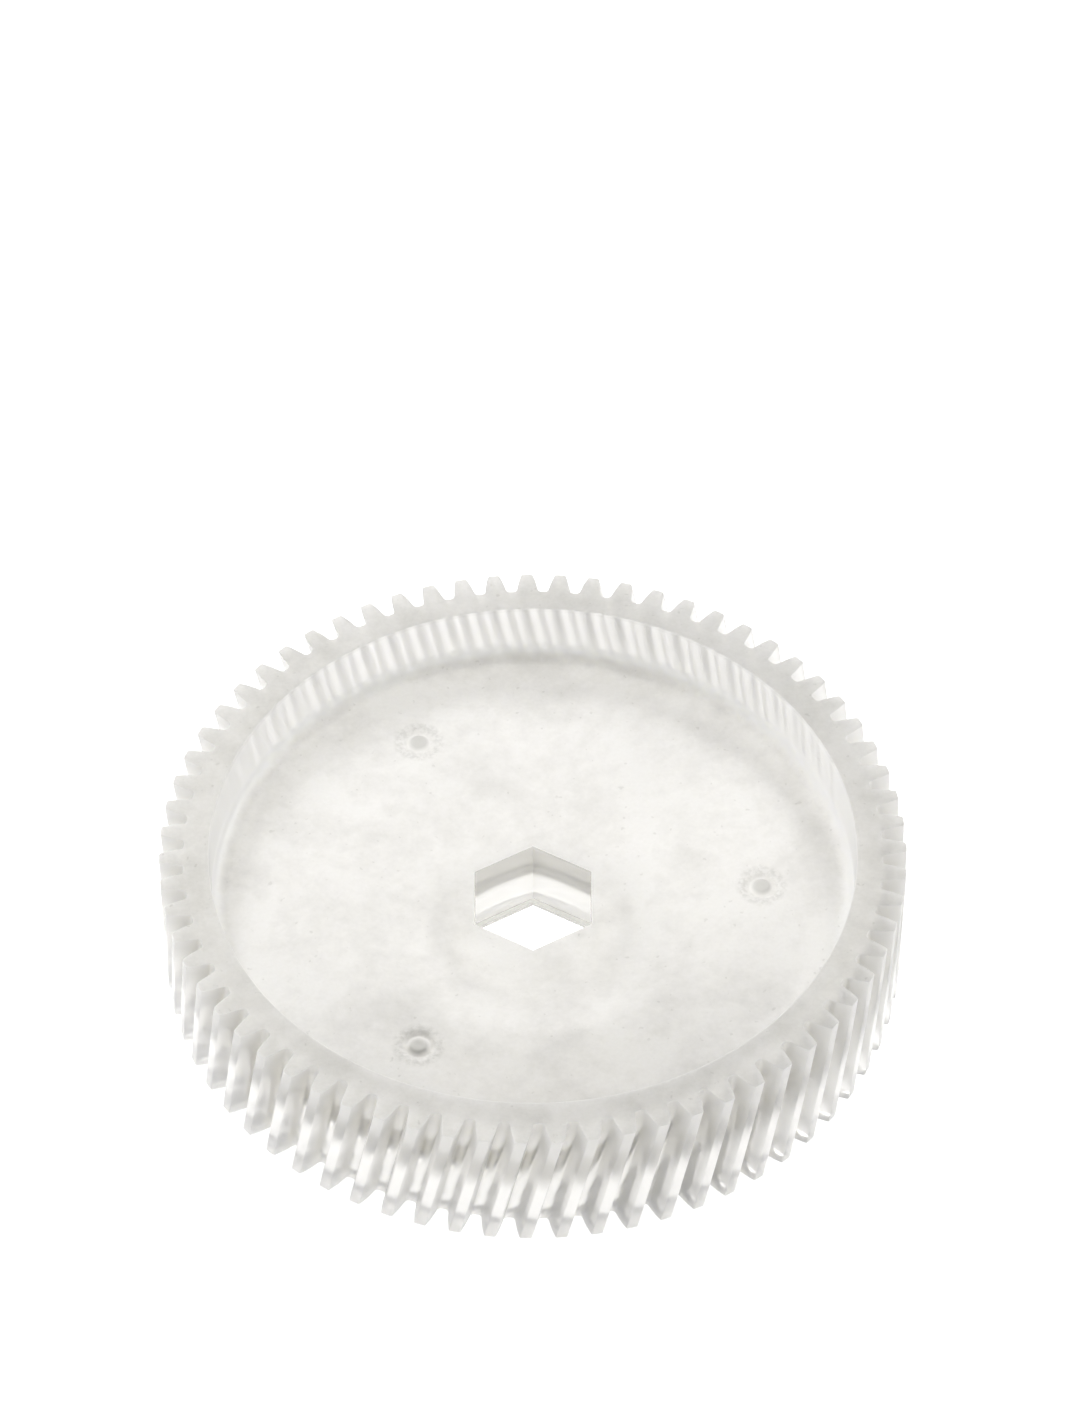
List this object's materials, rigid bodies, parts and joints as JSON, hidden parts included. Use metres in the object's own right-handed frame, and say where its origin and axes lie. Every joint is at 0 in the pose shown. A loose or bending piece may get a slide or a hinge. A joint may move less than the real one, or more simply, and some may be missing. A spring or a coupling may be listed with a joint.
{
  "type": "helical gear",
  "caption": "Moulded translucent plastic helical gear with a hexagonal bore, a web recessed on both sides and a hub that stands a little below the rim.",
  "frame": {"origin": "on the gear's axis, in the plane of the hub's lower end, which the gear rests on", "axes": "+Z along the axis, from the hub's lower end to the open side of the upper recess; +X square to one pair of the bore's flats"},
  "size_m": [0.0704, 0.0704, 0.0158],
  "materials": {
    "natural_plastic": "translucent natural plastic, satin moulded surface"
  },
  "bodies": {
    "root": {"helical_gear": "natural_plastic"}
  },
  "joints": []
}
